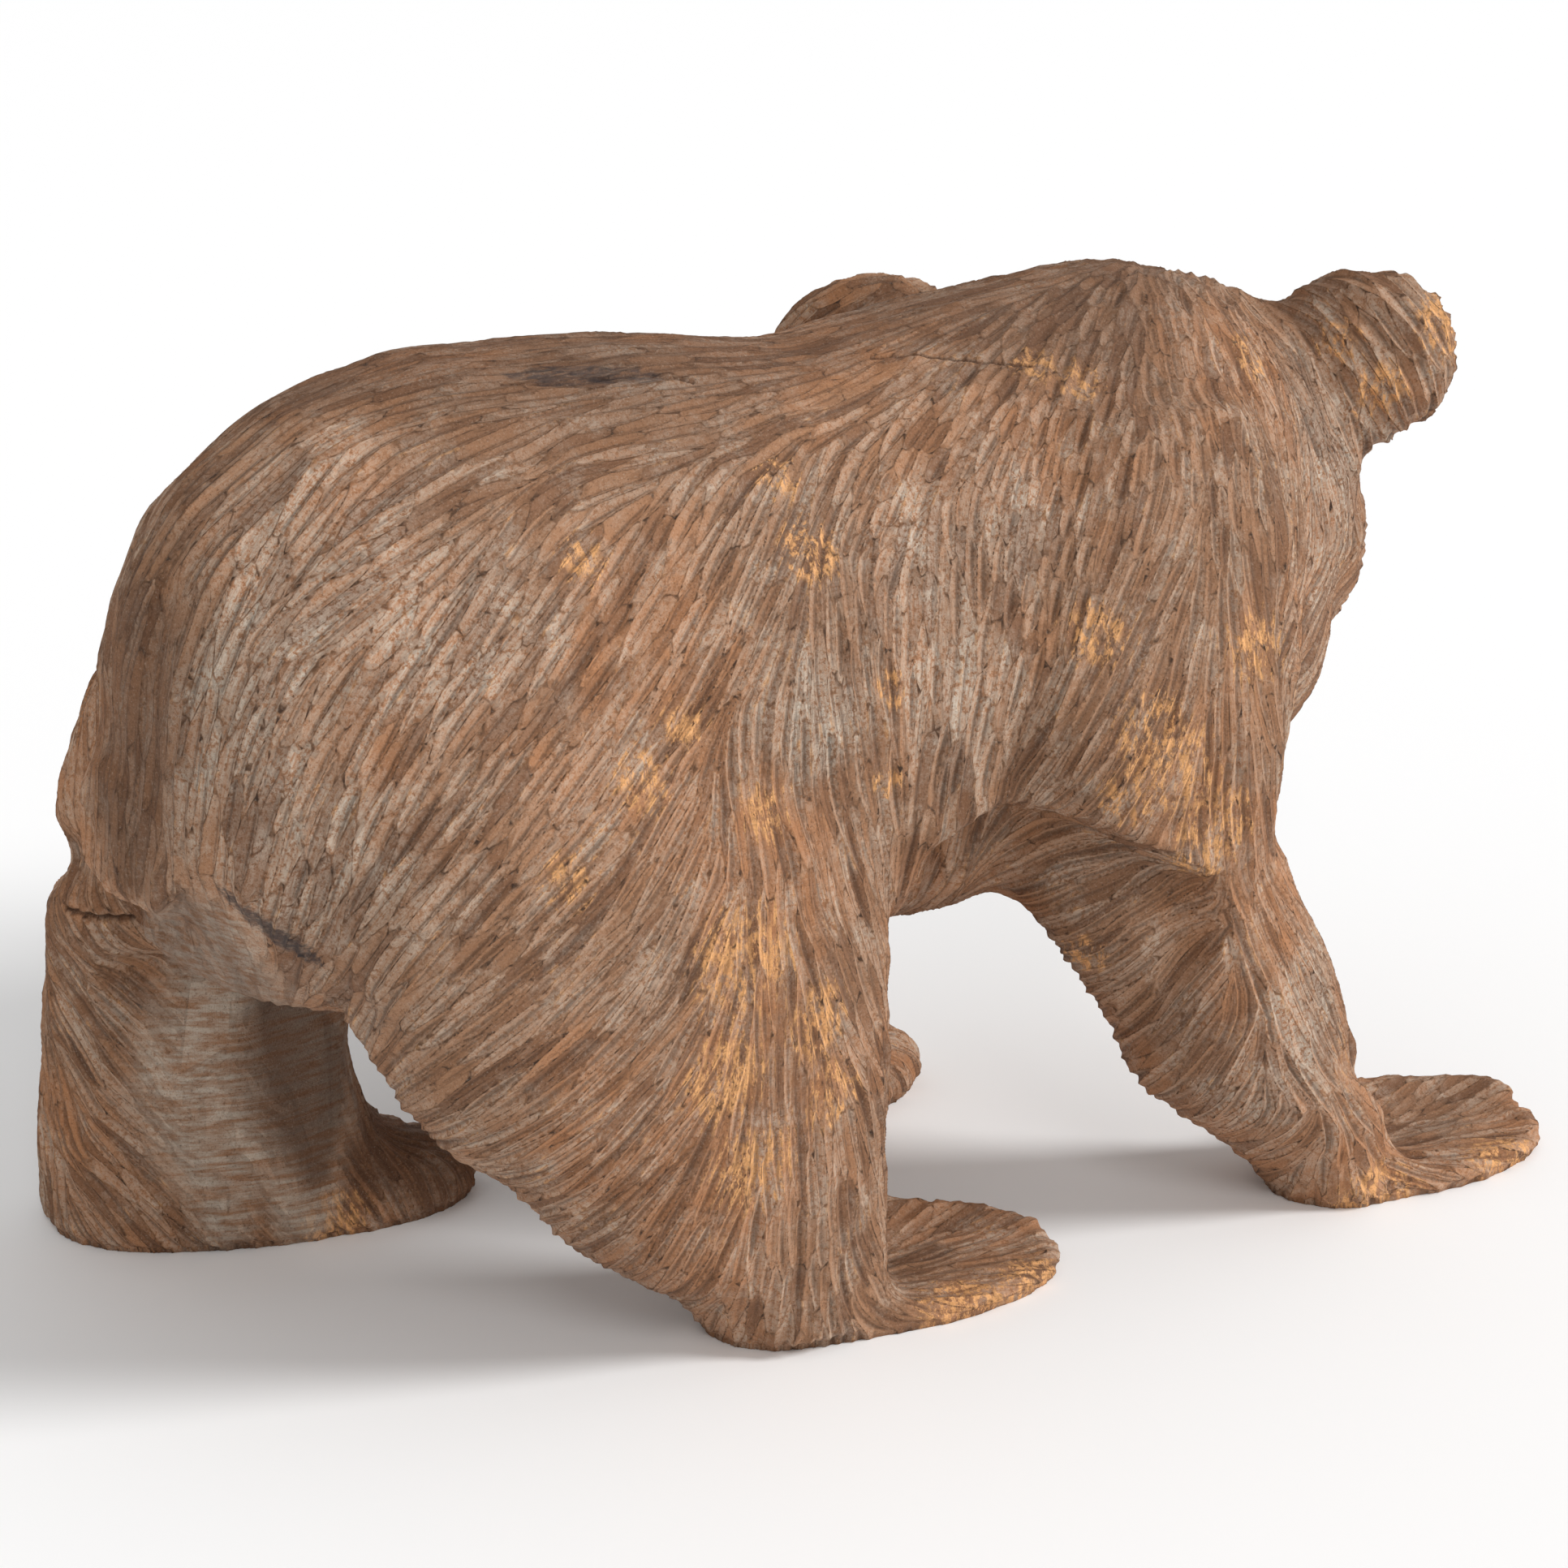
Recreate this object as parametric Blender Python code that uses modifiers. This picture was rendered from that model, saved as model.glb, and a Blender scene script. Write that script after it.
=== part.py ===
"""A walking bear carved from one log, with two glass eyes on wire pins set into its head.

Metres, +Z up. The bear walks along +X, its left side is +Y, and its soles stand on z = 0.
The block is built the way a carver roughs it out: plain masses for trunk, legs, head and ears are
run together into one body, the soles are sawn flat, and the eye sockets are drilled.
"""

import math

import bpy
import bmesh
from mathutils import Matrix, Vector

# Driving dimensions
BACK_HEIGHT = 0.345  # highest point of the back and hump
BELLY_HEIGHT = 0.122  # underside of the trunk
TRUNK_HALF_WIDTH = 0.102
HEAD_CENTRE = Vector((0.182, 0.055, 0.254))
HEAD_TURN = math.radians(54)  # the head looks to the bear's left
HEAD_ROLL = math.radians(-2.5)  # the left ear hangs a little lower
HEAD_HALF_WIDTH = 0.090
EAR_RADIUS = 0.040
EYE_RADIUS = 0.0055
EYE_PLACE = Vector((0.0580, 0.0355, 0.0145))  # left eye's centre, from the head's centre
EYE_SPLAY = math.radians(38)  # how far each eye looks outwards
PIN_RADIUS = 0.0008
PIN_LENGTH = 0.016
PIN_IN_BEAD = 0.003  # length of the pin that sits inside the bead
OUTLINE_CENTRE = Vector((0.0134, 0.0225, 0.0))  # middle of the finished outline seen from above

# Making of the block
CLAY_VOXEL = 0.0040  # grid on which the masses run together
SMOOTH_STEPS = 12
BODY_TRIANGLE_SHARE = 0.078  # what Decimate keeps
RING_POINTS = 32
TURNING_STEPS = 32
SOLE_DEPTH = 0.016  # leg masses run this far below the floor before the soles are sawn flat
FIT_GAP = 0.0003  # clearance between touching solids

HEAD_FRAME = (
    Matrix.Translation(HEAD_CENTRE)
    @ Matrix.Rotation(HEAD_TURN, 4, "Z")
    @ Matrix.Rotation(HEAD_ROLL, 4, "X")
)
SIDES = {"left": 1, "right": -1}

WOOD_COLOUR = (0.24, 0.14, 0.085, 1.0)
GLASS_COLOUR = (0.012, 0.009, 0.008, 1.0)
WIRE_COLOUR = (0.45, 0.43, 0.40, 1.0)


def clear_scene():
    for obj in list(bpy.data.objects):
        bpy.data.objects.remove(obj, do_unlink=True)


def new_collection(name):
    collection = bpy.data.collections.new(name)
    bpy.context.scene.collection.children.link(collection)
    return collection


def new_material(name, colour, roughness, metallic=0.0):
    material = bpy.data.materials.new(name)
    material.use_nodes = True
    shader = material.node_tree.nodes["Principled BSDF"]
    shader.inputs["Base Color"].default_value = colour
    shader.inputs["Roughness"].default_value = roughness
    shader.inputs["Metallic"].default_value = metallic
    return material


def power(value, exponent):
    return math.copysign(abs(value) ** exponent, value)


def oval(half_a, half_b, squareness, pinch):
    """Ring of (a, b) points: an ellipse made squarer, and narrowed towards its +b side by pinch."""
    points = []
    for step in range(RING_POINTS):
        angle = 2 * math.pi * step / RING_POINTS
        a = power(math.cos(angle), 2 / squareness)
        b = power(math.sin(angle), 2 / squareness)
        narrowing = 1 - pinch * max(0.0, b) ** 1.5
        points.append((a * half_a * narrowing, b * half_b))
    return points


def skin(bm, rings):
    """Closed loft through rings of equal point count."""
    loops = [[bm.verts.new(point) for point in ring] for ring in rings]
    count = len(loops[0])
    for lower, upper in zip(loops, loops[1:]):
        for i in range(count):
            j = (i + 1) % count
            bm.faces.new((lower[i], lower[j], upper[j], upper[i]))
    bm.faces.new(list(reversed(loops[0])))
    bm.faces.new(loops[-1])


def add_along_x(bm, stations, squareness=2.4, pinch=0.0, frame=Matrix.Identity(4)):
    """Mass whose sections stand across X. A station is (x, y, z_low, z_high, half_width)."""
    rings = []
    for x, y, z_low, z_high, half_width in stations:
        middle = (z_low + z_high) / 2
        section = oval(half_width, (z_high - z_low) / 2, squareness, pinch)
        rings.append([frame @ Vector((x, y + a, middle + b)) for a, b in section])
    skin(bm, rings)


def add_along_z(bm, stations, squareness=2.4, turn=0.0):
    """Mass whose sections lie flat, turned about Z. A station is (z, x, y, half_length, half_width)."""
    rings = []
    for z, x, y, half_length, half_width in stations:
        section = oval(half_length, half_width, squareness, 0.0)
        matrix = Matrix.Translation((x, y, z)) @ Matrix.Rotation(math.radians(turn), 4, "Z")
        rings.append([matrix @ Vector((a, b, 0)) for a, b in section])
    skin(bm, rings)


def add_ball(bm, centre, radii, turn=0.0, tilt=0.0, frame=Matrix.Identity(4)):
    """Ellipsoid mass. turn is about Z and tilt about Y, in degrees."""
    matrix = (
        frame
        @ Matrix.Translation(centre)
        @ Matrix.Rotation(math.radians(turn), 4, "Z")
        @ Matrix.Rotation(math.radians(tilt), 4, "Y")
        @ Matrix.Diagonal((*radii, 1.0))
    )
    bmesh.ops.create_uvsphere(bm, u_segments=32, v_segments=20, radius=1.0, matrix=matrix)


def add_trunk(bm):
    belly, back, width = BELLY_HEIGHT, BACK_HEIGHT, TRUNK_HALF_WIDTH
    add_along_x(
        bm,
        [
            (-0.249, -0.008, 0.176, 0.258, 0.24 * width),
            (-0.243, -0.008, 0.158, 0.284, 0.42 * width),
            (-0.226, -0.006, 0.142, 0.311, 0.62 * width),
            (-0.188, -0.003, belly + 0.008, 0.334, 0.82 * width),
            (-0.140, 0.000, belly, back, 0.94 * width),
            (-0.070, 0.000, belly, 0.342, width),
            (0.000, 0.000, belly, 0.331, 0.98 * width),
            (0.070, 0.000, belly + 0.002, 0.340, width),
            (0.135, 0.000, belly + 0.006, back, 0.94 * width),
            (0.172, 0.000, belly + 0.024, 0.336, 0.74 * width),
            (0.194, 0.005, belly + 0.050, 0.312, 0.48 * width),
        ],
        squareness=2.4,
        pinch=0.34,
    )
    add_ball(bm, (0.128, 0.0, 0.262), (0.083, 0.073, 0.083))  # shoulder hump
    add_ball(bm, (0.180, 0.020, 0.196), (0.066, 0.062, 0.058), turn=40)  # neck and chest
    add_ball(bm, (-0.246, 0.006, 0.198), (0.019, 0.017, 0.030), tilt=8)  # tail


def add_right_hind_leg(bm):
    add_along_z(
        bm,
        [
            (0.270, -0.108, -0.054, 0.056, 0.024),
            (0.230, -0.110, -0.064, 0.084, 0.037),
            (0.190, -0.108, -0.073, 0.096, 0.043),
            (0.150, -0.104, -0.077, 0.098, 0.044),
            (0.118, -0.098, -0.078, 0.092, 0.042),
            (0.098, -0.090, -0.078, 0.085, 0.040),
            (0.078, -0.077, -0.077, 0.071, 0.038),
            (0.058, -0.071, -0.075, 0.065, 0.037),
            (0.038, -0.058, -0.072, 0.056, 0.035),
            (0.018, -0.036, -0.070, 0.048, 0.034),
            (-SOLE_DEPTH, -0.018, -0.068, 0.044, 0.030),
        ],
        squareness=2.05,
    )
    add_paw(bm, centre=(0.001, -0.070), half_length=0.070, half_width=0.037, turn=-8)


def add_right_fore_leg(bm):
    add_along_z(  # shoulder and upper arm, ending in the overhang at the elbow
        bm,
        [
            (0.310, 0.112, -0.054, 0.036, 0.024),
            (0.265, 0.102, -0.070, 0.056, 0.036),
            (0.225, 0.094, -0.078, 0.060, 0.042),
            (0.198, 0.092, -0.082, 0.056, 0.041),
            (0.178, 0.100, -0.083, 0.044, 0.038),
            (0.158, 0.112, -0.083, 0.030, 0.035),
        ],
        squareness=3.0,
    )
    add_along_z(
        bm,
        [
            (0.200, 0.096, -0.070, 0.054, 0.044),
            (0.160, 0.099, -0.076, 0.054, 0.043),
            (0.135, 0.109, -0.078, 0.053, 0.041),
            (0.110, 0.125, -0.079, 0.052, 0.038),
            (0.085, 0.139, -0.080, 0.049, 0.036),
            (0.060, 0.149, -0.080, 0.048, 0.034),
            (0.034, 0.170, -0.079, 0.038, 0.033),
            (0.014, 0.190, -0.078, 0.033, 0.031),
            (-SOLE_DEPTH, 0.206, -0.077, 0.030, 0.030),
        ],
        squareness=1.8,
    )
    add_paw(bm, centre=(0.234, -0.078), half_length=0.058, half_width=0.034)


def add_left_hind_leg(bm):
    add_along_z(
        bm,
        [
            (0.265, -0.160, 0.046, 0.045, 0.026),
            (0.220, -0.168, 0.062, 0.064, 0.036),
            (0.175, -0.176, 0.076, 0.066, 0.040),
            (0.135, -0.184, 0.088, 0.059, 0.040),
            (0.100, -0.188, 0.097, 0.055, 0.038),
            (0.065, -0.189, 0.104, 0.056, 0.038),
            (0.035, -0.184, 0.109, 0.062, 0.039),
            (-SOLE_DEPTH, -0.176, 0.110, 0.068, 0.040),
        ],
        turn=-22,
    )
    add_paw(bm, centre=(-0.163, 0.108), half_length=0.082, half_width=0.041, turn=-22)


def add_left_fore_leg(bm):
    add_along_z(
        bm,
        [
            (0.310, 0.103, 0.054, 0.036, 0.024),
            (0.265, 0.100, 0.072, 0.054, 0.036),
            (0.215, 0.094, 0.082, 0.058, 0.042),
            (0.175, 0.079, 0.086, 0.055, 0.042),
            (0.140, 0.064, 0.087, 0.049, 0.038),
            (0.105, 0.049, 0.088, 0.043, 0.035),
            (0.070, 0.040, 0.089, 0.039, 0.034),
            (0.038, 0.038, 0.089, 0.043, 0.034),
            (-SOLE_DEPTH, 0.042, 0.089, 0.046, 0.033),
        ],
        squareness=2.8,
    )
    add_paw(bm, centre=(0.053, 0.091), half_length=0.061, half_width=0.038)


def add_paw(bm, centre, half_length, half_width, turn=0):
    """Low pad that spreads at the floor and thins towards its rim."""
    x, y = centre
    add_along_z(
        bm,
        [
            (-SOLE_DEPTH, x, y, half_length, half_width),
            (0.008, x, y, half_length, half_width),
            (0.018, x, y, half_length - 0.004, half_width - 0.003),
            (0.028, x - 0.012, y, half_length - 0.022, half_width - 0.012),
        ],
        squareness=2.0,
        turn=turn,
    )


def add_head(bm):
    width = HEAD_HALF_WIDTH
    add_along_x(
        bm,
        [
            (-0.085, 0.0, -0.070, 0.045, 0.60 * width),
            (-0.050, 0.0, -0.085, 0.070, 0.90 * width),
            (-0.010, 0.0, -0.090, 0.077, 1.00 * width),
            (0.022, 0.0, -0.086, 0.066, 0.92 * width),
            (0.046, 0.0, -0.078, 0.044, 0.68 * width),
            (0.070, 0.0, -0.073, 0.018, 0.48 * width),
            (0.100, 0.0, -0.068, 0.008, 0.42 * width),
            (0.122, 0.0, -0.058, 0.003, 0.33 * width),
        ],
        squareness=2.3,
        pinch=0.12,
        frame=HEAD_FRAME,
    )
    add_ball(bm, (0.120, 0.0, -0.008), (0.014, 0.019, 0.015), frame=HEAD_FRAME)  # nose
    for side in (-1, 1):
        add_ball(bm, (-0.012, side * 0.089, 0.040), (0.017, EAR_RADIUS, 0.036), frame=HEAD_FRAME)
        add_ball(bm, (-0.004, side * 0.070, 0.026), (0.026, 0.034, 0.032), frame=HEAD_FRAME)
        add_ball(bm, (0.046, side * 0.030, 0.028), (0.020, 0.020, 0.012), frame=HEAD_FRAME)  # brow
        add_ball(bm, (0.010, side * 0.062, -0.034), (0.040, 0.032, 0.042), frame=HEAD_FRAME)  # cheek


def add_modifier(obj, kind, **settings):
    modifier = obj.modifiers.new(kind.title(), kind)
    for name, value in settings.items():
        setattr(modifier, name, value)
    return modifier


def object_from(bm, name, collection, origin):
    mesh = bpy.data.meshes.new(name)
    bm.to_mesh(mesh)
    bm.free()
    obj = bpy.data.objects.new(name, mesh)
    obj.parent = origin
    collection.objects.link(obj)
    return obj


def arc(radius, start, end, steps=14):
    """Points (r, z) on a circle about the origin. An angle of 0 is the +Z pole."""
    points = []
    for step in range(steps + 1):
        angle = start + (end - start) * step / steps
        points.append((radius * math.sin(angle), radius * math.cos(angle)))
    return points


def turned(name, profile, collection, origin, matrix):
    """Solid of revolution about local Z. The profile runs from its top to its bottom on the axis."""
    bm = bmesh.new()
    verts = [bm.verts.new((r, 0, z)) for r, z in profile]
    for upper, lower in zip(verts, verts[1:]):
        bm.edges.new((upper, lower))
    obj = object_from(bm, name, collection, origin)
    obj.matrix_local = matrix
    add_modifier(
        obj,
        "SCREW",
        axis="Z",
        steps=TURNING_STEPS,
        render_steps=TURNING_STEPS,
        use_merge_vertices=True,
        merge_threshold=0.00005,
        use_smooth_shade=True,
    )
    return obj


def as_cutter(obj):
    obj.hide_render = True
    obj.display_type = "WIRE"
    return obj


def floor_cutter(cutters, origin):
    """Everything below the floor, for sawing the soles flat."""
    bm = bmesh.new()
    matrix = Matrix.Translation((0, 0, -0.05)) @ Matrix.Diagonal((0.8, 0.6, 0.1, 1.0))
    bmesh.ops.create_cube(bm, size=1.0, matrix=matrix)
    return as_cutter(object_from(bm, "floor_cutter", cutters, origin))


def eye_frame(side):
    """Frame at an eye's centre, with +Z looking out of the socket."""
    place = Vector((EYE_PLACE.x, side * EYE_PLACE.y, EYE_PLACE.z))
    look = Matrix.Rotation(side * EYE_SPLAY, 4, "Z") @ Matrix.Rotation(math.radians(84), 4, "Y")
    return HEAD_FRAME @ Matrix.Translation(place) @ look


def eye_profile(radius, hole_radius, tail_depth):
    """Ball of this radius whose back runs into a straight tail (a hole or a shank) down to tail_depth."""
    meeting = math.pi - math.asin(hole_radius / radius)
    ball = arc(radius, 0.0, meeting)
    return ball + [(hole_radius, tail_depth), (0.0, tail_depth)]


def build_eye(name, side, parts, cutters, origin, glass, wire):
    """Glass bead on a wire pin. Returns the cutter of its socket and pin hole."""
    frame = eye_frame(side)
    pin_top = -EYE_RADIUS + PIN_IN_BEAD
    pin_bottom = pin_top - PIN_LENGTH
    hole_radius = PIN_RADIUS + FIT_GAP

    bead = eye_profile(EYE_RADIUS, hole_radius, pin_top + FIT_GAP)
    turned(f"{name}_eye_bead", bead, parts, origin, frame).data.materials.append(glass)

    pin = [(0.0, pin_top), (PIN_RADIUS, pin_top), (PIN_RADIUS, pin_bottom), (0.0, pin_bottom)]
    turned(f"{name}_eye_pin", pin, parts, origin, frame).data.materials.append(wire)

    socket = eye_profile(EYE_RADIUS + FIT_GAP, hole_radius, pin_bottom - FIT_GAP)
    return as_cutter(turned(f"{name}_socket_cutter", socket, cutters, origin, frame))


def build_carved_body(parts, origin, wood):
    bm = bmesh.new()
    add_trunk(bm)
    add_right_hind_leg(bm)
    add_right_fore_leg(bm)
    add_left_hind_leg(bm)
    add_left_fore_leg(bm)
    add_head(bm)
    bmesh.ops.recalc_face_normals(bm, faces=bm.faces)
    body = object_from(bm, "carved_body", parts, origin)
    body.data.materials.append(wood)
    add_modifier(body, "REMESH", mode="VOXEL", voxel_size=CLAY_VOXEL)
    add_modifier(body, "SMOOTH", factor=0.5, iterations=SMOOTH_STEPS)
    add_modifier(body, "DECIMATE", ratio=BODY_TRIANGLE_SHARE)
    return body


def main():
    clear_scene()
    parts = new_collection("carved_bear")
    cutters = new_collection("cutters")
    origin = bpy.data.objects.new("outline_centre", None)
    origin.location = -OUTLINE_CENTRE
    parts.objects.link(origin)

    wood = new_material("weathered_wood", WOOD_COLOUR, 0.75)
    glass = new_material("dark_glass", GLASS_COLOUR, 0.08)
    wire = new_material("iron_wire", WIRE_COLOUR, 0.4, metallic=1.0)

    body = build_carved_body(parts, origin, wood)
    tools = [floor_cutter(cutters, origin)]
    for name, side in SIDES.items():
        tools.append(build_eye(name, side, parts, cutters, origin, glass, wire))
    for tool in tools:
        add_modifier(body, "BOOLEAN", operation="DIFFERENCE", object=tool)


main()
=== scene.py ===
"""The finished look of the carved wooden bear.

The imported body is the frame. A fine copy of it is cut with thousands of gouge strokes that follow
the lie of the coat, so that the carving is geometry, and the wood is a procedural material.
All sizes are in metres.
"""

import itertools
import math

import bpy
import numpy as np
from mathutils import Matrix, Vector
from mathutils.bvhtree import BVHTree
from mathutils.kdtree import KDTree


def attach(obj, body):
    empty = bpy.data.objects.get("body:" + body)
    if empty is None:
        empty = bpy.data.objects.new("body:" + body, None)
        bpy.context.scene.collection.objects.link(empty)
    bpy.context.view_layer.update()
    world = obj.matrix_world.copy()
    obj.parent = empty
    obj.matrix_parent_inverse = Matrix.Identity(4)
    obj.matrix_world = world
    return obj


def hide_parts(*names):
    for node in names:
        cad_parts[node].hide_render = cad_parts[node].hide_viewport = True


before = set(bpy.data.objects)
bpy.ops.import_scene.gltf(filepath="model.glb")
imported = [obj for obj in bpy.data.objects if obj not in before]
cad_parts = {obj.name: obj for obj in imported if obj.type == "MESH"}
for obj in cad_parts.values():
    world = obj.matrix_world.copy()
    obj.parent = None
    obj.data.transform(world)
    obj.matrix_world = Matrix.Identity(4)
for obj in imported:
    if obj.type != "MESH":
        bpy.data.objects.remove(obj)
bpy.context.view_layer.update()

MM = 0.001
SEED = 7

# --- camera, at the photograph's viewing angle ---
CAMERA_AZIMUTH = math.radians(-30)
CAMERA_ELEVATION = math.radians(20)
CAMERA_DISTANCE = 1.4
CAMERA_TARGET = Vector((-0.0134, -0.0225, 0.17))
CAMERA_LENS = 90
CAMERA_SENSOR = 36
CAMERA_CLIP_END = 50

# --- light ---
KEY_FROM = Vector((1.0, -0.8, 0.75))
KEY_STRENGTH = 2.5
FILL_FROM = Vector((-0.4, -1.0, 0.95))
FILL_STRENGTH = 0.5
LAMP_SOFTNESS = math.radians(16)
SKY_STRENGTH = 0.57
FLOOR_TINT = (0.94, 0.94, 0.94, 1)
FLOOR_ROUGHNESS = 0.9
FLOOR_REACH = 12
FLOOR_DROP = 0.2 * MM

# --- the body's mesh ---
FORM_VOXEL = 3.0 * MM
FORM_SMOOTHING = 14
SHAPED_SMOOTHING = 2
FINE_VOXEL = 0.75 * MM
FINE_SMOOTHING = 5
KEPT_TRIANGLES = 780000
# Below this height the body is its flat sole.
SOLE_HEIGHT = 1.6 * MM
# The surface is raised by this before it is cut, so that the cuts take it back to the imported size.
CUT_ALLOWANCE = 1.0 * MM
# Height above or depth below its surroundings at which a point counts as a full crest or hollow.
RELIEF_SCALE = 0.16 * MM
RELIEF_SPREAD = 2
TRUNK_CENTRE_Y = -22.5 * MM
RIGHT_SIDE = -60 * MM

# --- how a stroke is cut ---
STEP = 3 * MM
SPACING_ALONG = 0.42
SPACING_ACROSS = 0.44
CANDIDATES = 60000
LENGTH_SPREAD = (0.8, 1.25)
WIDTH_SPREAD = (0.85, 1.2)
DEPTH_SPREAD = (0.7, 1.3)
LEAN_SPREAD = (0.85, 1.1)
SAME_SIDE_SHARE = 0.8
# How far from its middle line a stroke is looked for, and how far its pieces run into each other.
CUT_REACH = 7 * MM
CUT_RISE = 5 * MM
CUT_HALF_WIDTHS = 1.3
CUT_OVERLAP = 0.4 * MM
CUT_TAPER = 1.3
# Depths that stand for no cut and for no second cut.
UNCUT = -0.3 * MM
UNCUT_TWICE = -0.6 * MM
SEAM_REACH = 6
SEAM_SPREAD = 2
SHORTEST_EDGE = 0.2 * MM
GENTLEST_SEAM = 0.15


def style(length, width, depth, lean, hollow):
    """Length, width and depth of a stroke, and how far its deepest line lies to one side.

    The section is a plain V at a hollow of 1 and a rounded trough at 2.
    """
    return np.array((length * MM, width * MM, depth * MM, lean, hollow))


LEAF = style(46, 7.4, 2.2, 0.45, 1.5)
HAIR = style(50, 5.6, 1.9, 0.3, 1.5)
SCALE = style(24, 6.2, 1.8, 0.35, 1.6)
GROOVE = style(54, 6.0, 2.2, 0.15, 1.6)
FAN = style(44, 7.0, 2.6, 0.15, 1.7)
DISH = style(36, 6.0, 1.7, 0.15, 1.7)
EAR = style(38, 8.0, 2.9, 0.25, 1.7)
RUMP = style(52, 6.4, 1.8, 0.35, 1.6)
FINE = style(20, 5.0, 1.2, 0.15, 1.8)
BACK = style(50, 6.2, 1.5, 0.45, 1.5)


def mirrored(points):
    """The same line on the other side of the trunk."""
    return [(x, 2 * TRUNK_CENTRE_Y / MM - y, z) for x, y, z in points]


# The lie of the coat: each line runs from root to tip along the surface, in millimetres.
FLANK_LINES = [
    (BACK, [(98, -22, 343), (-7, -30, 331), (-108, -46, 339), (-186, -40, 335), (-213, -43, 324)]),
    (BACK, [(49, -46, 335), (-65, -76, 317), (-155, -81, 314), (-229, -80, 277), (-246, -80, 248)]),
    (RUMP, [(-194, -44, 332), (-246, -45, 297), (-260, -48, 240), (-264, -37, 188)]),
    (RUMP, [(-239, -3, 300), (-262, -20, 247), (-273, -24, 208), (-275, -17, 181)]),
    (LEAF, [(-195, -58, 324), (-224, -67, 299), (-245, -72, 267), (-257, -68, 203)]),
    (LEAF, [(-124, -76, 319), (-163, -95, 292), (-196, -104, 260), (-218, -101, 223),
            (-227, -92, 186)]),
    (LEAF, [(-74, -81, 313), (-111, -106, 282), (-146, -116, 247), (-180, -120, 214),
            (-215, -102, 168)]),
    (HAIR, [(-36, -81, 308), (-72, -110, 277), (-102, -121, 241), (-136, -130, 211),
            (-173, -132, 184)]),
    (HAIR, [(-39, -107, 276), (-44, -120, 245), (-39, -122, 211), (-28, -115, 175), (-23, -110, 154)]),
    (LEAF, [(7, -102, 282), (-2, -119, 246), (-10, -121, 205), (-10, -112, 170), (-8, -99, 150)]),
    (SCALE, [(121, -24, 344), (81, -42, 339), (41, -64, 325), (3, -84, 304), (-25, -104, 279)]),
    (SCALE, [(126, -25, 344), (84, -64, 329), (53, -92, 302), (31, -110, 272), (19, -120, 243)]),
    (SCALE, [(136, -18, 341), (119, -63, 330), (107, -95, 310), (101, -115, 286), (95, -129, 262)]),
]
NECK_LINES = [
    (SCALE, [(174, 10, 329), (154, -49, 329), (158, -69, 309), (158, -85, 283)]),
    (GROOVE, [(158, -85, 283), (153, -99, 251), (124, -134, 230)]),
    (GROOVE, [(204, -27, 307), (208, -44, 279), (227, -36, 249), (241, -25, 219), (191, -59, 188)]),
    (EAR, [(204, -5, 318), (210, -29, 312), (218, -39, 295), (228, -42, 276)]),
    (EAR, [(219, -25, 329), (229, -43, 316), (239, -51, 298), (247, -51, 282)]),
]
RIGHT_LEG_LINES = [
    (GROOVE, [(-110, -130, 212), (-135, -138, 186), (-164, -137, 164), (-193, -126, 141),
              (-203, -110, 126)]),
    (GROOVE, [(-100, -138, 185), (-120, -142, 157), (-149, -140, 131), (-177, -126, 109)]),
    (GROOVE, [(-96, -141, 157), (-109, -142, 126), (-133, -137, 98), (-150, -117, 72)]),
    (GROOVE, [(-90, -141, 127), (-95, -139, 92), (-107, -132, 59), (-111, -99, 28)]),
    (GROOVE, [(-86, -124, 233), (-88, -134, 195), (-90, -141, 155), (-86, -140, 111), (-79, -136, 69)]),
    (FAN, [(-79, -136, 69), (-75, -126, 27), (-73, -117, 7)]),
    (GROOVE, [(-69, -126, 203), (-64, -133, 170), (-50, -132, 135), (-30, -121, 94), (-24, -111, 64)]),
    (GROOVE, [(99, -129, 261), (91, -142, 223), (90, -144, 185), (97, -141, 150), (116, -139, 112)]),
    (GROOVE, [(116, -139, 112), (134, -137, 72), (161, -133, 39)]),
    (GROOVE, [(96, -118, 282), (70, -131, 255), (47, -138, 226), (32, -132, 198)]),
    (GROOVE, [(89, -135, 247), (74, -143, 217), (58, -143, 191), (53, -132, 174)]),
    (GROOVE, [(105, -129, 260), (109, -141, 219), (121, -135, 177), (153, -114, 121), (172, -112, 83)]),
    (GROOVE, [(172, -112, 83), (190, -100, 50), (211, -84, 28)]),
    (GROOVE, [(84, -141, 159), (61, -135, 164), (42, -119, 160), (35, -100, 148)]),
    (GROOVE, [(89, -141, 142), (70, -134, 135), (58, -112, 117)]),
    (GROOVE, [(97, -140, 125), (85, -129, 102), (87, -90, 72)]),
    (GROOVE, [(114, -138, 93), (105, -128, 66), (103, -107, 49)]),
    (FAN, [(157, -134, 43), (156, -131, 26), (163, -123, 5)]),
    (FAN, [(145, -135, 47), (133, -122, 31), (136, -100, 20)]),
    (FAN, [(172, -128, 41), (197, -128, 18), (213, -133, 7)]),
    (DISH, [(196, -90, 22), (208, -74, 24), (222, -66, 26)]),
    (DISH, [(200, -94, 16), (226, -82, 16), (256, -74, 22)]),
    (DISH, [(200, -99, 12), (234, -98, 9), (272, -98, 14)]),
    (DISH, [(198, -104, 12), (226, -112, 8), (254, -122, 8)]),
    (FAN, [(194, -110, 16), (208, -122, 8), (220, -134, 4)]),
    (DISH, [(-24, -84, 24), (-14, -68, 24), (-2, -56, 26)]),
    (DISH, [(-22, -88, 16), (8, -74, 16), (34, -66, 22)]),
    (DISH, [(-22, -93, 12), (12, -90, 9), (52, -88, 14)]),
    (DISH, [(-26, -100, 12), (4, -108, 8), (36, -116, 8)]),
    (FAN, [(-34, -106, 20), (-20, -120, 8), (-8, -132, 4)]),
]
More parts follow.
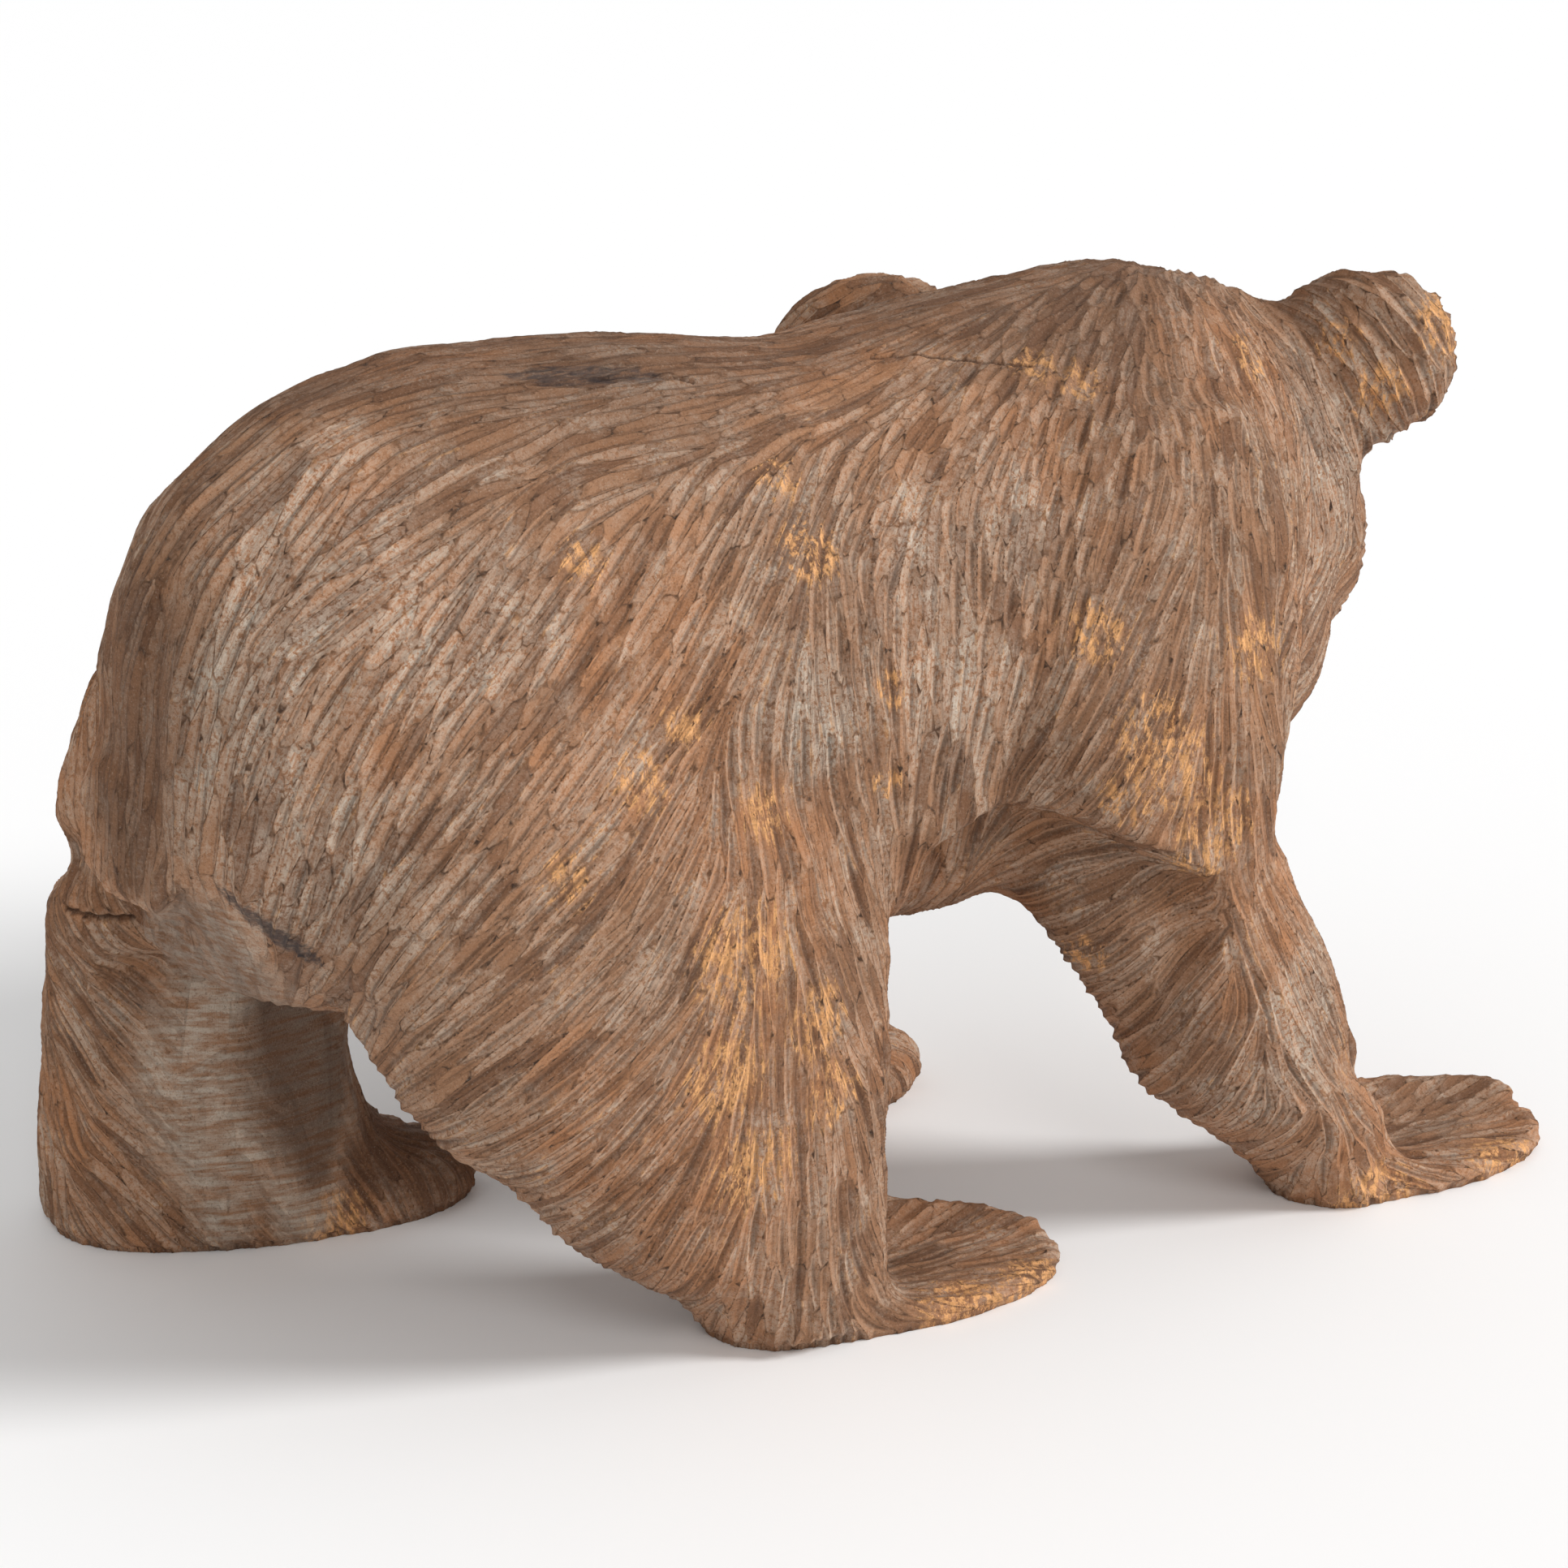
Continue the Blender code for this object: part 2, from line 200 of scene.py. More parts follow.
LEFT_LEG_LINES = [
    (GROOVE, [(-255, 81, 116), (-246, 60, 94), (-227, 51, 64), (-210, 49, 39)]),
    (GROOVE, [(-251, 96, 103), (-257, 86, 61), (-256, 94, 18)]),
    (GROOVE, [(-270, 40, 150), (-245, 44, 128), (-222, 42, 112)]),
    (GROOVE, [(-264, 74, 132), (-246, 52, 106), (-226, 47, 86)]),
    (GROOVE, [(-264, 84, 92), (-247, 62, 64), (-228, 53, 42)]),
    (GROOVE, [(-264, 92, 50), (-248, 72, 28), (-236, 66, 10)]),
]


def clear_default_objects():
    for name in ("Cube", "Light", "Camera"):
        if name in bpy.data.objects:
            bpy.data.objects.remove(bpy.data.objects[name])


def add_object(name, data):
    made = bpy.data.objects.new(name, data)
    bpy.context.scene.collection.objects.link(made)
    return made


def apply_modifiers(obj):
    """The object keeps its evaluated mesh and no modifier."""
    graph = bpy.context.evaluated_depsgraph_get()
    mesh = bpy.data.meshes.new_from_object(obj.evaluated_get(graph))
    obj.modifiers.clear()
    old = obj.data
    obj.data = mesh
    bpy.data.meshes.remove(old)


def gathered(items, name, width, kind=np.int32):
    """One property of all the items, a row for each."""
    flat = np.empty(len(items) * width, kind)
    items.foreach_get(name, flat)
    return flat.reshape(-1, width)


def vertex_array(mesh):
    return gathered(mesh.vertices, "co", 3, np.float32).astype(np.float64)


def normal_array(mesh):
    return gathered(mesh.vertex_normals, "vector", 3, np.float32).astype(np.float64)


def set_vertices(mesh, points):
    mesh.vertices.foreach_set("co", points.astype(np.float32).ravel())
    mesh.update()


def unit(vectors):
    return vectors / np.maximum(np.linalg.norm(vectors, axis=-1, keepdims=True), 1e-12)


# --- the body's mesh ---
def even_mesh(obj, spacing, smoothing):
    """Gives the object a mesh of even squares, smoothed that many times."""
    remesh = obj.modifiers.new("even_mesh", "REMESH")
    remesh.mode = "VOXEL"
    remesh.voxel_size = spacing
    smooth = obj.modifiers.new("smooth_facets", "SMOOTH")
    smooth.factor = 0.5
    smooth.iterations = smoothing
    apply_modifiers(obj)


def smooth_body():
    """A dense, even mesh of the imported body, with its facets smoothed away."""
    body = add_object("bear_body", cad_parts["carved_body"].data.copy())
    body.data.materials.clear()
    even_mesh(body, FORM_VOXEL, FORM_SMOOTHING)
    return body


def tree_of(mesh):
    corners = [tuple(face.vertices) for face in mesh.polygons]
    return BVHTree.FromPolygons([tuple(v.co) for v in mesh.vertices], corners)


# --- the head's own axes: x to the nose, y to its left, z up ---
HEAD_PLACE = Vector((168.6, 32.5, 254)) * MM
HEAD_TURN = math.radians(54)
HEAD_ROLL = math.radians(-2.5)
HEAD_AXES = (Matrix.Translation(HEAD_PLACE) @ Matrix.Rotation(HEAD_TURN, 4, "Z")
             @ Matrix.Rotation(HEAD_ROLL, 4, "X"))
EYE_PLACE = (58.0, 35.5, 14.5)
EAR_HOLLOW_PLACE = (92, 43)
EAR_HOLLOW_REACH = 25
EAR_HOLLOW_DEPTH = 10
NOSE_LEVEL = -4
NOSE_FRONT = 125
CHIN_BACK = 13
MUZZLE_TAPER = 0.22
LIP_LIFT = 4
SOCKET_PLACE = (66, 27, 9)
SOCKET_REACH = 15
SOCKET_DEPTH = 3.5
# The part of space that is the head, by its back, its half width and its underside.
HEAD_REACH = (-30, 140, -100)


def in_head(points):
    """The points in the head's axes, in millimetres."""
    back = np.array(HEAD_AXES.inverted())
    return (points @ back[:3, :3].T + back[:3, 3]) / MM


def out_of_head(points):
    turn = np.array(HEAD_AXES)
    return (np.array(points) * MM) @ turn[:3, :3].T + turn[:3, 3]


def both_sides(lines):
    """Each line with its mirror image across the head's middle plane."""
    for *facts, line in lines:
        for side in (1, -1):
            yield *facts, [(x, y * side, z) for x, y, z in line]


# Strokes of the face, combed back from the nose, in the head's axes.
FACE_LINES = [
    (FINE, [(110, 6, 8), (84, 10, 16), (64, 12, 30)]),
    (HAIR, [(64, 12, 30), (40, 14, 54), (6, 16, 76), (-40, 16, 78)]),
    (FINE, [(112, 20, -4), (90, 27, 4), (72, 30, 12)]),
    (FINE, [(112, 22, -20), (88, 34, -16), (66, 44, -8)]),
    (HAIR, [(66, 44, -8), (48, 60, -2), (26, 76, 8), (2, 90, 12)]),
    (HAIR, [(60, 30, 26), (44, 44, 40), (22, 58, 52)]),
    (FINE, [(112, 18, -46), (88, 30, -50), (64, 42, -48)]),
    (HAIR, [(64, 42, -48), (44, 62, -46), (22, 80, -42), (-8, 92, -36)]),
    (HAIR, [(96, 10, -64), (70, 24, -74), (40, 44, -80), (6, 60, -84)]),
    (EAR, [(4, 76, 34), (0, 90, 48), (-2, 104, 62)]),
]
# Lines cut into or standing out of the face: half width, height, then the line.
FACE_RELIEF = [
    (4.2, -4.2, [(126, 0, -37), (112, 16, -40), (98, 28, -38), (80, 36, -34), (64, 44, -27)]),
    (2.6, -2.6, [(128, 0, -20), (126, 0, -36)]),
    (7.0, 2.4, [(116, 12, -30), (98, 28, -27), (80, 34, -23)]),
    (8.5, 3.4, [(70, 20, 22), (62, 36, 27), (46, 52, 28)]),
    (3.0, -2.2, [(73, 24, 12), (66, 34, 5), (54, 44, 6)]),
    (3.6, -5.5, [(128, 6.5, -10), (124, 10, -8), (121, 14.5, -3)]),
]
FACE_REACH = 150 * MM
LINE_STEP = 5 * MM
LINE_REACH = 20 * MM
# Drying cracks in the trunk: half width, height, then the line along the surface.
CRACKS = [
    (0.9, -1.5, [(6, -48, 330), (20, -52, 330), (36, -60, 327), (58, -68, 324)]),
    (1.4, -2.8, [(-256, 66, 140), (-246, 52, 140), (-238, 40, 141)]),
    (1.3, -2.4, [(-134, -50, 338), (-108, -53, 337), (-84, -52, 336), (-66, -56, 335)]),
]
NOSE_HEIGHT = 2.6
NOSE_FURROW = 1.5
LID_HEIGHT = 1.8
LID_FURROW = 1.4
# Painted shade in the face's furrows and round the eyes, and a darker tone on the nose pad.
FURROW_SHADE = 0.9
NOSE_SHADE = 0.75
LID_SHADE = 0.8
LEFT_EAR_START = 62
LEFT_EAR_STRETCH = 1.12
LEFT_EAR_LIFT = 1.5


# --- the larger forms cut before the coat ---
# Dished paws: centre of the dish, half length, half width, lowest height, and where the ankle ends.
DISHES = [
    ((6, -90), 50, 33, 5.0, -30),
    ((234, -98), 41, 31, 5.0, 192),
]
DISH_RISE = 12
DISH_TILT = 11
DISH_LEAST = 8.5
ANKLE_BLEND = 12
PAW_HEIGHT = 45
# Outlines of the same paws: centre, half length, half width and turn in degrees.
PADS = [
    ((-12, -92), 70, 37, -8),
    ((221, -100), 58, 34, 0),
]
PAD_HEIGHT = 30
LIP_HEIGHT = 5.0
LIP_SLOPE = 1.1
# Flat cuts of a wide chisel: a point of the flat, the way it faces, and its reach.
FLATS = [
    ((-217, 45, 72), (-0.5, -0.86, 0.05), 62),
    ((-186, 40, 70), (0.22, -0.97, 0.0), 62),
    ((-267, -18, 225), (-1.0, -0.12, 0.06), 90),
    ((-252, 80, 70), (-0.93, -0.36, 0.0), 60),
    ((-232, -78, 292), (-0.62, -0.45, 0.62), 55),
]
FLAT_DEPTH = 14 * MM
# Step below the elbow: its upper edge as (x, z), how deep it is cut, and how far it runs down.
ELBOW_EDGE = [(-10, 172), (15, 188), (40, 181), (61, 170), (84, 157), (100, 150)]
ELBOW_DEPTH = 15
ELBOW_FADE = 72
ELBOW_INWARD = (0, 1, 0)
ELBOW_FACING = (-0.3, -1, -0.1)
EDGE_LIP = 3.0
# Wide grooves: half width, depth, then the line along the surface.
FORM_GROOVES = [
    (17, 8, [(-268, -40, 158), (-275, 20, 160), (-268, 70, 158), (-250, 100, 150)]),
    (10, 4, [(-268, -55, 290), (-274, -50, 240), (-272, -52, 200)]),
    (9, 4, [(168, -128, 62), (186, -108, 44), (196, -84, 36)]),
]
# Hollow under the rump: its upper edge, how fast it runs back, and how far.
RUMP_EDGE = [(-262, -66, 206), (-254, -73, 199), (-233, -86, 177), (-215, -95, 162),
             (-203, -98, 150)]
RUMP_SLOPE = 1.5
RUMP_BACK = 34


def smooth_step(value, low, high):
    share = np.clip((value - low) / (high - low), 0, 1)
    return share * share * (3 - 2 * share)


def dish_paws(points, normals):
    """Hollows the tops of the right paws and thins their near edges down to the floor."""
    x, y, z = points.T / MM
    for (cx, cy), half_length, half_width, lowest, ankle in DISHES:
        u, v = (x - cx) / half_length, (y - cy) / half_width
        reach = u**2 + v**2
        limit = np.maximum(DISH_LEAST, lowest + DISH_RISE * reach + DISH_TILT * v)
        past_ankle = smooth_step(x, ankle, ankle + ANKLE_BLEND)
        inside = past_ankle * (reach < 1.7) * (z < PAW_HEIGHT) * (normals[:, 2] > -0.2)
        z = np.where((z > limit) & (inside > 0), z + (limit - z) * inside, z)
        rim = past_ankle * smooth_step(reach, 1.25, 1.0) * smooth_step(v, -0.3, 0.2)
        rim = rim * smooth_step(normals[:, 2], 0.2, 0.6) * (z < PAW_HEIGHT - 5)
        z = np.where(z < limit, z + (limit - z) * rim, z)
    for (cx, cy), half_length, half_width, turn in PADS:
        c, s = math.cos(math.radians(turn)), math.sin(math.radians(turn))
        u = ((x - cx) * c + (y - cy) * s) / half_length
        v = (-(x - cx) * s + (y - cy) * c) / half_width
        reach = np.sqrt(u**2 + v**2)
        limit = LIP_HEIGHT + LIP_SLOPE * np.clip(1 - reach, 0, 1) * half_width
        near = (v < 0.15) & (u > -0.8) & (reach < 1.3) & (z < PAD_HEIGHT)
        z = np.where(near & (z > limit), limit, z)
    points[:, 2] = z * MM


def cut_flats(points):
    for centre, way, reach in FLATS:
        centre, way = np.array(centre) * MM, unit(np.array(way))
        over = (points - centre) @ way
        flat = np.linalg.norm(points - centre - over[:, None] * way, axis=1) / (reach * MM)
        share = smooth_step(flat, 1, 0.75) * (over > 0) * (over < FLAT_DEPTH)
        points -= way * (over * share)[:, None]


def step_below(points, normals):
    """Cuts the surface back below the elbow's edge, most just under it, and raises the edge."""
    edge = np.array(ELBOW_EDGE) * MM
    top = np.interp(points[:, 0], edge[:, 0], edge[:, 1])
    below = top - points[:, 2]
    span = (points[:, 0] > edge[0, 0]) & (points[:, 0] < edge[-1, 0])
    ends = smooth_step(points[:, 0], edge[0, 0], edge[0, 0] + 12 * MM)
    ends = ends * smooth_step(points[:, 0], edge[-1, 0], edge[-1, 0] - 14 * MM)
    amount = smooth_step(below, 0, 3 * MM) * smooth_step(below, ELBOW_FADE * MM, 4 * MM) * ends
    amount = amount * span * smooth_step(normals @ unit(np.array(ELBOW_FACING)), 0.0, 0.4)
    lip = smooth_step(below, -10 * MM, -1 * MM) * smooth_step(below, 2 * MM, -1 * MM) * span * ends
    points += np.array(ELBOW_INWARD) * ((ELBOW_DEPTH * amount - EDGE_LIP * lip) * MM)[:, None]


def undercut_rump(points):
    """Cuts a slanting hollow back from under the edge of the rump, as far as the left leg."""
    edge = np.array(RUMP_EDGE) * MM
    below = np.interp(points[:, 0], edge[:, 0], edge[:, 2]) - points[:, 2]
    near = np.interp(points[:, 0], edge[:, 0], edge[:, 1]) + RUMP_SLOPE * below
    target = np.minimum(near, RUMP_BACK * MM)
    ends = smooth_step(points[:, 0], edge[0, 0], edge[0, 0] + 8 * MM)
    ends = ends * smooth_step(points[:, 0], edge[-1, 0], edge[-1, 0] - 10 * MM)
    amount = ends * smooth_step(below, 0, 2 * MM) * (points[:, 1] < target)
    points[:, 1] += amount * (target - points[:, 1])


def shape_head(points, normals):
    """Tapers the muzzle, sets the chin back, hollows ears and eye sockets, widens the left ear."""
    x, y, z = in_head(points).T
    turn = np.array(HEAD_AXES)[:3, :3]
    forward = normals @ turn[:, 0]
    head = (x > HEAD_REACH[0]) * (np.abs(y) < HEAD_REACH[1]) * (z > HEAD_REACH[2])
    back = CHIN_BACK * smooth_step(z, -34, -66) * smooth_step(x, 62, 104)
    back = back + np.maximum(x - NOSE_FRONT, 0) * 0.8
    narrow = MUZZLE_TAPER * smooth_step(x, 62, 108) * smooth_step(z, -58, -20)
    lift = LIP_LIFT * smooth_step(x, 70, 110) * smooth_step(z, -20, -70)
    ear = np.hypot(np.abs(y) - EAR_HOLLOW_PLACE[0], z - EAR_HOLLOW_PLACE[1]) / EAR_HOLLOW_REACH
    dent = EAR_HOLLOW_DEPTH * np.clip(1 - ear**2, 0, 1) * (x > -14) * smooth_step(forward, 0.1, 0.5)
    ahead, aside, above = SOCKET_PLACE
    gap = np.sqrt((x - ahead) ** 2 + (np.abs(y) - aside) ** 2 + (z - above) ** 2)
    socket = SOCKET_DEPTH * np.clip(1 - (gap / SOCKET_REACH) ** 2, 0, 1)
    side_ear = smooth_step(y, LEFT_EAR_START, LEFT_EAR_START + 20) * (z > 0) * (x < 30)
    stretch = (LEFT_EAR_STRETCH - 1) * (y - LEFT_EAR_START) * side_ear
    lift = lift + LEFT_EAR_LIFT * side_ear * smooth_step(z, 20, 50)
    moved = np.stack([x - back - dent - 0.7 * socket,
                      y * (1 - narrow) - 0.7 * socket * np.sign(y) + stretch, z + lift], axis=1)
    moved = np.where((head > 0)[:, None], moved, np.stack([x, y, z], axis=1))
    return out_of_head(moved)


def laid_on(line, tree):
    """The line's corners, in metres, with more between them, each moved onto the surface."""
    places = []
    for start, end in zip(line, line[1:]):
        start, end = Vector(start), Vector(end)
        count = max(1, round((end - start).length / LINE_STEP))
        places += [tree.find_nearest(start.lerp(end, index / count))[0] for index in range(count)]
    places.append(tree.find_nearest(Vector(line[-1]))[0])
    return np.array(places)


def line_gap(points, line):
    """Distance in millimetres from each point to a line, or infinity where it is far."""
    middle = line.mean(0)
    reach = np.linalg.norm(line - middle, axis=1).max() + LINE_REACH
    near = np.linalg.norm(points - middle, axis=1) < reach
    close = points[near]
    nearest = np.full(len(close), np.inf)
    for start, end in zip(line, line[1:]):
        run = end - start
        share = np.clip((close - start) @ run / max(run @ run, 1e-12), 0, 1)
        nearest = np.minimum(nearest, np.linalg.norm(close - start - share[:, None] * run, axis=1))
    gap = np.full(len(points), np.inf)
    gap[near] = nearest / MM
    return gap


def face_relief(points, tree):
    """Height of the face's lines, nose, eyelids and cracks, how calm the wood is, and how dark: painted
    shade in the furrows, eye sockets and cracks, a darker tone on the nose pad.
    """
    height, calm, dark = np.zeros(len(points)), np.zeros(len(points)), np.zeros(len(points))
    near = np.linalg.norm(points - np.array(HEAD_PLACE), axis=1) < FACE_REACH
    face = points[near]
    x, y, z = in_head(face).T
    relief, still, shade = np.zeros(len(face)), np.zeros(len(face)), np.zeros(len(face))
    for half_width, rise, line in both_sides(FACE_RELIEF):
        gap = line_gap(face, laid_on(out_of_head(line), tree)) / half_width
        relief += rise * np.clip(1 - gap, 0, 1) if rise < 0 else rise * smooth_step(gap, 1, 0)
        still = np.maximum(still, smooth_step(gap, 1.3, 0.9) * (rise < 0))
        shade = np.maximum(shade, FURROW_SHADE * smooth_step(gap, 0.9, 0.3) * (rise < 0))
    low = np.clip((NOSE_LEVEL - z) / 14, 0, 1)
    nose = np.hypot(y / (17 - 6 * low), (z - NOSE_LEVEL) / 12.5)
    front = smooth_step(x, 92, 104)
    raised = NOSE_HEIGHT * smooth_step(nose, 1.12, 0.92)
    relief += front * (raised - NOSE_FURROW * smooth_step(np.abs(nose - 1.2), 0.16, 0))
    still = np.maximum(still, front * smooth_step(nose, 1.35, 1.15))
    shade = np.maximum(shade, NOSE_SHADE * front * smooth_step(nose, 1.15, 0.95))
    for side in (1, -1):
        eye = np.linalg.norm(in_head(face) - np.array(EYE_PLACE) * (1, side, 1), axis=1)
        lid = LID_HEIGHT * smooth_step(np.abs(eye - 7.8), 2.6, 0.4)
        relief += lid - LID_FURROW * smooth_step(np.abs(eye - 11.6), 1.6, 0)
        still = np.maximum(still, smooth_step(eye, 13, 10))
        shade = np.maximum(shade, LID_SHADE * smooth_step(eye, 7.5, 6))
    height[near], calm[near], dark[near] = relief * MM, still, shade
    for half_width, rise, line in CRACKS:
        gap = line_gap(points, laid_on(np.array(line) * MM, tree)) / half_width
        height += rise * MM * np.clip(1 - gap, 0, 1)
        # painted shade inside the cracks
        dark = np.maximum(dark, smooth_step(gap, 1.1, 0.4))
    return height, calm, dark


def shape_forms(mesh):
    points, normals = vertex_array(mesh), normal_array(mesh)
    right = points[:, 1] < RIGHT_SIDE
    part, part_normals = points[right], normals[right]
    step_below(part, part_normals)
    points[right] = part
    undercut_rump(points)
    cut_flats(points)
    tree = tree_of(mesh)
    for half_width, depth, line in FORM_GROOVES:
        gap = line_gap(points, laid_on(np.array(line) * MM, tree)) / half_width
        fall = np.clip(1 - gap**2, 0, 1) ** 2
        points -= normals * (depth * MM * fall)[:, None]
    dish_paws(points, normals)
    set_vertices(mesh, shape_head(points, normals))


# --- the lie of the coat ---
GUIDE_STEP = 6 * MM
GUIDE_SOFTNESS = 6 * MM
LEAST_FACING = 0.01
BATCH = 8000


def guide_samples(lines, tree):
    """Points along each guide line on the surface, with normal, direction and style."""
    places, normals, ways, styles = [], [], [], []
    for look, line in lines:
        corners = [Vector(point) * MM for point in line]
        for start, end in zip(corners, corners[1:]):
            count = max(1, round((end - start).length / GUIDE_STEP))
            for index in range(count):
                place, normal, _, _ = tree.find_nearest(start.lerp(end, (index + 0.5) / count))
                places.append(place)
                normals.append(normal)
                ways.append(end - start)
                styles.append(look)
    return np.array(places), np.array(normals), unit(np.array(ways)), np.array(styles)


def coat_field(points, normals, guides):
    """Direction of the coat and stroke style at each point, from the guide lines near it."""
    places, guide_normals, ways, styles = guides
    direction = np.empty_like(points)
    look = np.empty((len(points), styles.shape[1]))
    for start in range(0, len(points), BATCH):
        part = slice(start, start + BATCH)
        gap = (points[part] ** 2).sum(1)[:, None] + (places**2).sum(1) - 2 * points[part] @ places.T
        facing = np.clip(normals[part] @ guide_normals.T, 0, 1) ** 3 + LEAST_FACING
        weight = facing / (gap + GUIDE_SOFTNESS**2) ** 2
        weight /= weight.sum(1, keepdims=True)
        direction[part] = weight @ ways
        look[part] = weight @ styles
    direction -= normals * (direction * normals).sum(1, keepdims=True)
    return unit(direction), look


# --- strokes ---
def scattered(mesh, count, rng):
    """Random points spread evenly over the mesh, with the faces they lie on."""
    mesh.calc_loop_triangles()
    corners = gathered(mesh.loop_triangles, "vertices", 3)
    points = vertex_array(mesh)
    a, b, c = (points[corners[:, k]] for k in range(3))
    area = np.linalg.norm(np.cross(b - a, c - a), axis=1)
    chosen = rng.choice(len(corners), count, p=area / area.sum())
    u, v = rng.random((2, count))
    over = u + v > 1
    u[over], v[over] = 1 - u[over], 1 - v[over]
    places = a[chosen] + u[:, None] * (b - a)[chosen] + v[:, None] * (c - a)[chosen]
    return places, corners[chosen, 0]


def thinned(places, normals, ways, looks):
    """Indices of the places kept so that strokes lie side by side like scales, without crowding."""
    index_tree = KDTree(len(places))
    for index, place in enumerate(places):
        index_tree.insert(place, index)
    index_tree.balance()
    alive = np.ones(len(places), bool)
    sides = np.cross(normals, ways)
    kept = []
    for index in range(len(places)):
        if not alive[index]:
            continue
        kept.append(index)
        length, width = looks[index, 0] * SPACING_ALONG, looks[index, 1] * SPACING_ACROSS
        near = index_tree.find_range(places[index], length)
        others = np.fromiter((item[1] for item in near), np.int64, len(near))
        offset = places[others] - places[index]
        along = (offset @ ways[index]) / length
        across = (offset @ sides[index]) / width
        depth = (offset @ normals[index]) / (3 * width)
        alive[others[along**2 + across**2 + depth**2 < 1]] = False
    return np.array(kept)


def traced(start, length, tree, field):
    """The stroke's path on the surface, following the coat both ways from its middle."""
    halves = []
    for sign in (-1, 1):
        place = Vector(start)
        path = []
        for _ in range(max(1, round(length / 2 / STEP))):
            hit, _, face, _ = tree.find_nearest(place)
            place, _, face, _ = tree.find_nearest(hit + Vector(field[face]) * STEP * sign)
            path.append(tuple(place))
        halves.append(path)
    return halves[0][::-1] + [tuple(start)] + halves[1]


def lay_strokes(mesh, tree, direction, look, rng, candidates):
    """Segments of every stroke: start, end, distance along and stroke number; then the styles."""
    normals = normal_array(mesh)
    first = gathered(mesh.polygons, "loop_start", 1)[:, 0]
    field = direction[gathered(mesh.loops, "vertex_index", 1)[first, 0]]
    places, owner = scattered(mesh, candidates, rng)
    kept = thinned(places, normals[owner], direction[owner], look[owner])
    starts, ends, along, number, looks = [], [], [], [], []
    for stroke, index in enumerate(kept):
        length, width, depth, lean, hollow = look[owner[index]]
        length *= rng.uniform(*LENGTH_SPREAD)
        path = np.array(traced(places[index], length, tree, field))
        spans = np.linalg.norm(np.diff(path, axis=0), axis=1)
        reached = np.concatenate([[0], np.cumsum(spans)])
        starts.append(path[:-1])
        ends.append(path[1:])
        along.append(reached[:-1])
        number.append(np.full(len(spans), stroke))
        side = 1 if rng.random() < SAME_SIDE_SHARE else -1
        looks.append((reached[-1], width * rng.uniform(*WIDTH_SPREAD),
                      depth * rng.uniform(*DEPTH_SPREAD),
                      side * lean * rng.uniform(*LEAN_SPREAD), hollow))
    return (np.concatenate(starts), np.concatenate(ends), np.concatenate(along),
            np.concatenate(number), np.array(looks))


def near_pairs(points, centres, reach):
    """Pairs of point and centre that lie in neighbouring cells of a grid, a batch at a time."""
    low = points.min(0) - 2 * reach
    cell = ((points - low) / reach).astype(np.int64)
    size = cell.max(0) + 4
    centre_cell = np.clip(((centres - low) / reach).astype(np.int64), 1, size - 2)

    def key(cells):
        return (cells[:, 0] * size[1] + cells[:, 1]) * size[2] + cells[:, 2]

    keys = key(cell)
    order = np.argsort(keys, kind="stable")
    keys = keys[order]
    for shift in itertools.product((-1, 0, 1), repeat=3):
        wanted = key(centre_cell + shift)
        start = np.searchsorted(keys, wanted, "left")
        count = np.searchsorted(keys, wanted, "right") - start
        who = np.repeat(np.arange(len(centres)), count)
        within = np.arange(count.sum()) - np.repeat(np.cumsum(count) - count, count)
        yield order[np.repeat(start, count) + within], who


def cut_depths(points, normals, strokes, reach):
    """For each point the deepest cut over it, the next deepest, and where in that stroke it is."""
    starts, ends, along, number, looks = strokes
    spans = np.linalg.norm(ends - starts, axis=1)
    ways = unit(ends - starts)
    found = []
    for point, segment in near_pairs(points, (starts + ends) / 2, reach):
        offset = points[point] - starts[segment]
        run = (offset * ways[segment]).sum(1)
        inside = (run > -CUT_OVERLAP) & (run < spans[segment] + CUT_OVERLAP)
        point, segment, offset, run = point[inside], segment[inside], offset[inside], run[inside]
        side = unit(np.cross(normals[point], ways[segment]))
        across = (offset * side).sum(1)
        rise = np.abs((offset * normals[point]).sum(1))
        look = looks[number[segment]]
        half = look[:, 1] / 2
        place = 2 * (along[segment] + run) / look[:, 0] - 1
        swell = np.clip(1 - place**2, 0, 1) ** CUT_TAPER
        inside = (np.abs(across) < half * CUT_HALF_WIDTHS) & (rise < CUT_RISE) & (swell > 0)
        point, segment, place = point[inside], segment[inside], place[inside]
        across, half, look, swell = across[inside], half[inside], look[inside], swell[inside]
        lean = look[:, 3]
        offset = across / half
        flat_side = (lean - offset) / (1 + lean)
        steep_side = (offset - lean) / (1 - lean)
        fall = np.maximum(flat_side, steep_side) ** look[:, 4]
        depth = look[:, 2] * (swell - fall)
        found.append(np.stack([point, number[segment], depth, place, offset]))
    found = np.concatenate(found, axis=1)
    # the best of each stroke at each point, then the two best strokes
    order = np.lexsort((-found[2], found[1], found[0]))
    found = found[:, order]
    first = np.ones(found.shape[1], bool)
    first[1:] = (found[0, 1:] != found[0, :-1]) | (found[1, 1:] != found[1, :-1])
    found = found[:, first]
    order = np.lexsort((-found[2], found[0]))
    found = found[:, order]
    owner = found[0].astype(np.int64)
    top = np.ones(len(owner), bool)
    top[1:] = owner[1:] != owner[:-1]
    second = np.zeros(len(owner), bool)
    second[1:] = top[:-1] & ~top[1:]
    best = np.zeros((4, len(points)))
    best[0] = UNCUT
    best[:, owner[top]] = found[[2, 1, 3, 4]][:, top]
    runner_up = np.full(len(points), UNCUT_TWICE)
    runner_up[owner[second]] = found[2, second]
    return best[0], runner_up, best[1].astype(np.int64), best[2], best[3]


def spread(mesh, values, steps):
    """The values averaged with their neighbours' along the mesh that many times."""
    ends = gathered(mesh.edges, "vertices", 2)
    both = np.concatenate([ends, ends[:, ::-1]])
    count = np.bincount(both[:, 0], minlength=len(values))
    for _ in range(steps):
        values = np.bincount(both[:, 0], values[both[:, 1]], len(values)) / count
    return values


